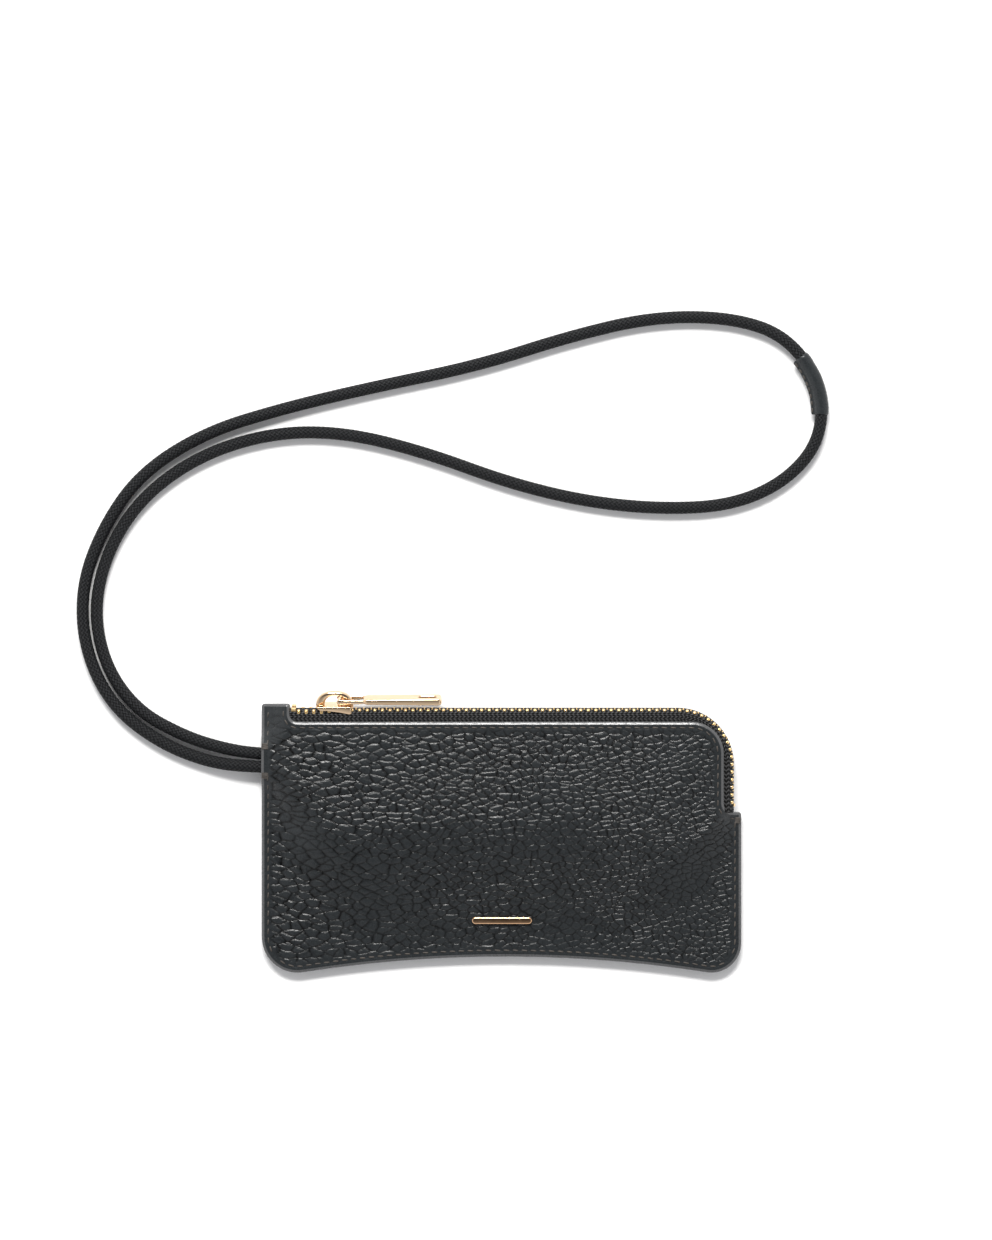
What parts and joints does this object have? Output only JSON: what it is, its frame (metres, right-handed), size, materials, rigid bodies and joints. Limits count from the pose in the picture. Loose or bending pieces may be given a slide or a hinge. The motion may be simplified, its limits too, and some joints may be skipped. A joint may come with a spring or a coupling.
{
  "type": "neck pouch wallet",
  "caption": "Slim black leather pouch with a gold metal zip round its top corner and a round braided neck cord that leaves its side seam as a long loop.",
  "frame": {"origin": "on the plane that the pouch lies on, below the middle of its leather body", "axes": "+X along the pouch's width towards the zip's rounded corner, +Y up its height towards the zip, +Z out of its front panel"},
  "size_m": [0.2675, 0.2351, 0.0105],
  "materials": {
    "leather": "satin pebbled grain",
    "lining": "matt woven lining",
    "zip_tape": "matt herringbone tape",
    "zip_metal": "polished light gold",
    "slider_metal": "polished pale gold plating",
    "cord": "braided polyester sheath",
    "thread": "waxed sewing thread",
    "badge_metal": "polished rose-gold plating"
  },
  "bodies": {
    "pouch": {"front_panel": "leather", "back_panel": "leather", "front_lining": "lining", "back_lining": "lining", "card_pocket": "lining", "zip_tape_front": "zip_tape", "zip_tape_back": "zip_tape", "zip_teeth_front": "zip_metal", "zip_teeth_back": "zip_metal", "zip_top_stops": "zip_metal", "zip_bottom_stop": "zip_metal", "neck_cord": "cord", "cord_sleeve": "leather", "sleeve_thread": "thread", "seam_thread": "thread", "zip_thread_front": "thread", "bar_tacks": "thread", "badge_bar": "badge_metal"},
    "slider": {"slider_body": "slider_metal", "slider_bridge": "slider_metal"},
    "pull": {"pull_tab": "slider_metal"}
  },
  "joints": [
    {"name": "slider_slide", "type": "slide", "parent": "pouch", "child": "slider", "axis": [1, 0, 0], "range_m": [0, 0.113]},
    {"name": "pull_swing", "type": "hinge", "parent": "slider", "child": "pull", "pos_m": [-0.0573, 0.04907, 0.00654], "axis": [0, -0.309, 0.9511], "range_deg": [0, 150]}
  ]
}
